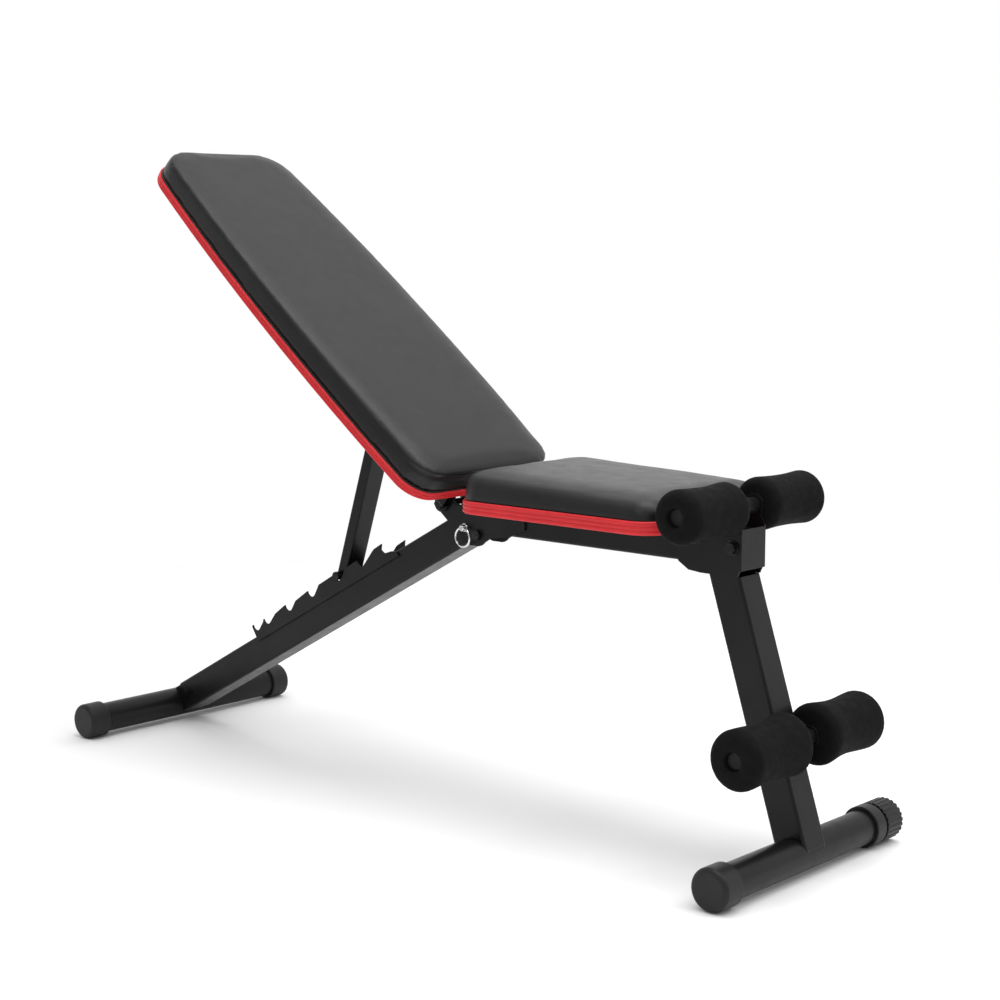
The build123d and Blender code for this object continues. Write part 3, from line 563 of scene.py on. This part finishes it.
# ---- foam rollers ------------------------------------------------------------------------------
def foam_roller(level, side, waist, inner_flare):
    """A waisted foam sleeve with soft rounded ends and a pocket for its end plug."""
    node = f"{level}_roller_{side}"
    low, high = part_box(node)
    axis_x, axis_z = (low.x + high.x) / 2, (low.z + high.z) / 2
    radius = (high.x - low.x) / 2
    inner, outer = (low.y, high.y) if abs(low.y) < abs(high.y) else (high.y, low.y)
    sign = 1 if outer > inner else -1
    length = abs(outer - inner)
    plug_low, plug_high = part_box(f"{level}_roller_plugs")
    plug_end = plug_high.y if sign > 0 else plug_low.y
    pocket = abs(outer - plug_end) + PLUG_THICKNESS
    round_in, round_out = 12 * MM, 15 * MM
    profile = [(0.0, ROLLER_BORE), (0.0, ROLLER_BORE + 4 * MM), (0.0, radius - round_in - 4 * MM)]
    inner_r = radius + inner_flare
    for step in range(0, 9):
        a = pi - step / 8 * pi / 2
        profile.append((round_in + round_in * cos(a), inner_r - round_in + round_in * sin(a)))
    for step in range(1, 20):
        t = step / 20
        along = round_in + (length - round_in - round_out) * t
        ends = inner_r + (radius - inner_r) * t
        profile.append((along, ends - (ends - waist) * sin(pi * t) ** 1.2))
    for step in range(0, 11):
        a = pi / 2 - step / 10 * pi / 2
        profile.append((length - round_out + round_out * cos(a) * 0.96,
                        radius - round_out + round_out * sin(a)))
    profile += [(length, radius - round_out - 4 * MM), (length - 0.3 * MM, PLUG_POCKET_R + 3 * MM),
                (length - 1.4 * MM, PLUG_POCKET_R + 0.8 * MM), (length - 3.5 * MM, PLUG_POCKET_R),
                (length - pocket, PLUG_POCKET_R), (length - pocket, ROLLER_BORE)]
    rings = []
    for along, r in profile:
        ring = []
        for k in range(ROLLER_SEGMENTS):
            a = 2 * pi * k / ROLLER_SEGMENTS
            point = Vector((axis_x + r * cos(a), inner + sign * along, axis_z + r * sin(a)))
            soft = noise.noise(point * 22.0) * FOAM_LUMPS if r > 20 * MM else 0.0
            ring.append((axis_x + (r + soft) * cos(a), point.y, axis_z + (r + soft) * sin(a)))
        rings.append(ring)
    obj = tube_of_rings(f"{node}_foam", rings, closed=True)
    finish_piece(obj, "roller_foam", node, node)


for side in ("near", "far"):
    foam_roller("upper", side, 35.4 * MM, 0.0)
    foam_roller("lower", side, 39.0 * MM, 2.0 * MM)


# ---- studio ------------------------------------------------------------------------------------
def pale_floor():
    turns = [2 * pi * k / FLOOR_SIDES for k in range(FLOOR_SIDES)]
    rim = [(FLOOR_RADIUS * cos(a), FLOOR_RADIUS * sin(a), 0) for a in turns]
    floor = new_object("floor", rim, [tuple(range(FLOOR_SIDES))])
    s = Shader("floor_paint")
    s.colour(s.noise(3, 3), (0.3, (0.95, 0.95, 0.95)), (0.7, (0.97, 0.97, 0.97)))
    s.set(Roughness=0.7, Specular_IOR_Level=0.3)
    floor.data.materials.append(s.mat)


def studio_world():
    """A white backdrop, and a soft glow that is strongest on BRIGHT_SIDE for the light itself."""
    world = bpy.data.worlds.new("studio")
    world.use_nodes = True
    nodes, links = world.node_tree.nodes, world.node_tree.links
    coord = nodes.new("ShaderNodeTexCoord")
    facing = nodes.new("ShaderNodeVectorMath")
    facing.operation = "DOT_PRODUCT"
    facing.inputs[1].default_value = BRIGHT_SIDE
    glow = nodes.new("ShaderNodeMapRange")
    glow.interpolation_type = "SMOOTHSTEP"
    for name, value in (("From Min", -0.6), ("From Max", 0.7), ("To Min", 0.45), ("To Max", 1.08)):
        glow.inputs[name].default_value = value
    lighting = nodes["Background"]
    lighting.inputs["Color"].default_value = (1, 1, 1, 1)
    backdrop = nodes.new("ShaderNodeBackground")
    backdrop.inputs["Color"].default_value = (1, 1, 1, 1)
    seen = nodes.new("ShaderNodeLightPath")
    choice = nodes.new("ShaderNodeMixShader")
    links.new(coord.outputs["Generated"], facing.inputs[0])
    links.new(facing.outputs["Value"], glow.inputs["Value"])
    links.new(glow.outputs["Result"], lighting.inputs["Strength"])
    links.new(seen.outputs["Is Camera Ray"], choice.inputs["Fac"])
    links.new(lighting.outputs["Background"], choice.inputs[1])
    links.new(backdrop.outputs["Background"], choice.inputs[2])
    links.new(choice.outputs["Shader"], nodes["World Output"].inputs["Surface"])
    bpy.context.scene.world = world
    bpy.context.scene.view_settings.view_transform = "Standard"


def soft_lamp(name, place, size, power):
    data = bpy.data.lights.new(name, "AREA")
    data.shape = "DISK"
    data.size = size
    data.energy = power
    lamp = bpy.data.objects.new(name, data)
    lamp.location = place
    aim = Vector(LAMP_TARGET) - Vector(place)
    lamp.rotation_euler = aim.to_track_quat("-Z", "Y").to_euler()
    bpy.context.scene.collection.objects.link(lamp)


def camera():
    level = cos(CAMERA_ELEVATION)
    back = Vector((sin(CAMERA_AZIMUTH) * level, -cos(CAMERA_AZIMUTH) * level, sin(CAMERA_ELEVATION)))
    right = Vector((cos(CAMERA_AZIMUTH), sin(CAMERA_AZIMUTH), 0))
    turn = Matrix((right, back.cross(right), back)).transposed()
    data = bpy.data.cameras.new("camera")
    data.sensor_width = 36
    data.lens = CAMERA_LENS
    data.clip_end = 60
    obj = bpy.data.objects.new("camera", data)
    obj.matrix_world = Matrix.Translation(CAMERA_AT) @ turn.to_4x4()
    bpy.context.scene.collection.objects.link(obj)
    bpy.context.scene.camera = obj


pale_floor()
studio_world()
for lamp in LAMPS:
    soft_lamp(*lamp)
camera()
